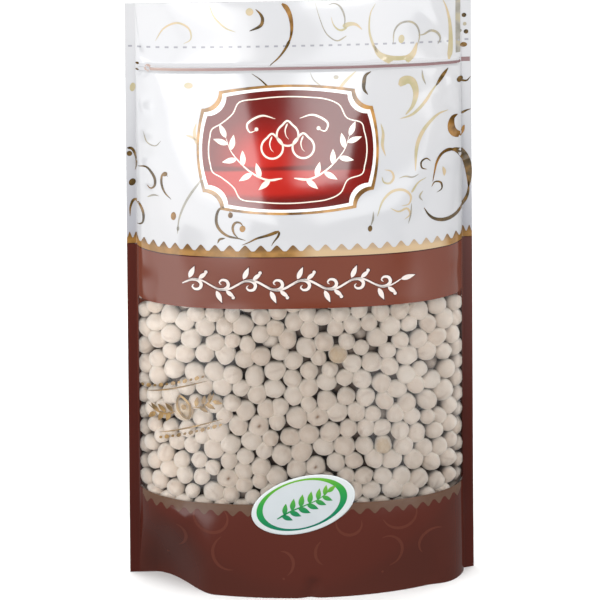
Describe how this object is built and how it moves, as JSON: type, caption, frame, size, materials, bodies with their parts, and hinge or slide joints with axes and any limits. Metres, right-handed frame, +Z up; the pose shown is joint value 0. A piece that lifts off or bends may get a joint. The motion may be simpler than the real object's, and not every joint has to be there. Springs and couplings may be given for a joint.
{
  "type": "stand-up pouch of roasted chickpeas",
  "caption": "Filled stand-up pouch with flat side welds, an opened bottom gusset, a zipper ridge and a clear window onto roasted chickpeas, with an oval sticker.",
  "frame": {"origin": "on the ground under the middle of the pouch", "axes": "+Z up along the pouch's height, -Y out of the front with the window, +X to the right seen from the front"},
  "size_m": [0.16, 0.0724, 0.284],
  "materials": {
    "printed_film": "glossy printed laminate: pearly white head with gold scrolls, dark brown band and foot, clear window",
    "roasted_chickpea": "dry matt cream skin with a pale chalky bloom and fine creases",
    "sticker_paper": "satin coated paper, white with a green crescent ring"
  },
  "bodies": {
    "root": {"pouch": "printed_film", "chickpeas": "roasted_chickpea", "sticker": "sticker_paper"}
  },
  "joints": []
}
